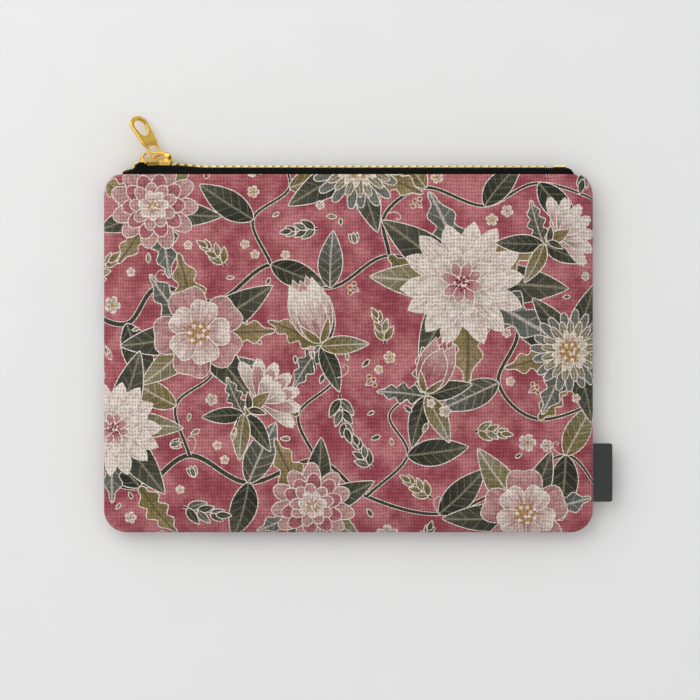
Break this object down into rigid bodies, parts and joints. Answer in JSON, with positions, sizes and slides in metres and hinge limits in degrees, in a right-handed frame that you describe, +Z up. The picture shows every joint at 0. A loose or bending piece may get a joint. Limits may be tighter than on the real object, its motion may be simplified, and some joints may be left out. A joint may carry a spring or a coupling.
{
  "type": "zip pouch",
  "caption": "Flat rectangular lined cloth pouch with a printed canvas outside, rounded corners, a metal zip along its top edge, a slider with a pull tab and a folded label in its side seam.",
  "frame": {"origin": "centre of the flat underside of the back panel, on which the pouch lies", "axes": "+X along the zip from its closed end to its open end, +Y from the bottom seam towards the zip, +Z up out of the front panel"},
  "size_m": [0.2246, 0.1841, 0.016],
  "materials": {
    "printed_canvas": "coarse plain-weave canvas with a printed floral pattern",
    "lining_cloth": "plain black cotton",
    "zip_tape": "black woven polyester tape",
    "zip_metal": "bright gold teeth and stops",
    "slider_metal": "bright gold plated casting",
    "label_ribbon": "charcoal satin ribbon"
  },
  "bodies": {
    "pouch": {"front_panel": "printed_canvas", "back_panel": "printed_canvas", "front_lining": "lining_cloth", "back_lining": "lining_cloth", "front_zip_tape": "zip_tape", "back_zip_tape": "zip_tape", "front_teeth": "zip_metal", "back_teeth": "zip_metal", "front_top_stop": "zip_metal", "back_top_stop": "zip_metal", "bottom_stop": "zip_metal", "side_label": "label_ribbon"},
    "slider": {"slider_body": "slider_metal"},
    "tab": {"pull_tab": "slider_metal"}
  },
  "joints": [
    {"name": "slider_slide", "type": "slide", "parent": "pouch", "child": "slider", "axis": [1, 0, 0], "range_m": [-0.004, 0.1675], "deforming": ["front_zip_tape", "back_zip_tape", "front_teeth", "back_teeth"]},
    {"name": "pull_tab_hinge", "type": "hinge", "parent": "slider", "child": "tab", "pos_m": [-0.08432, 0.08728, 0.00842], "axis": [0.6489, 0.2674, -0.7123], "range_deg": [0, 60]}
  ]
}
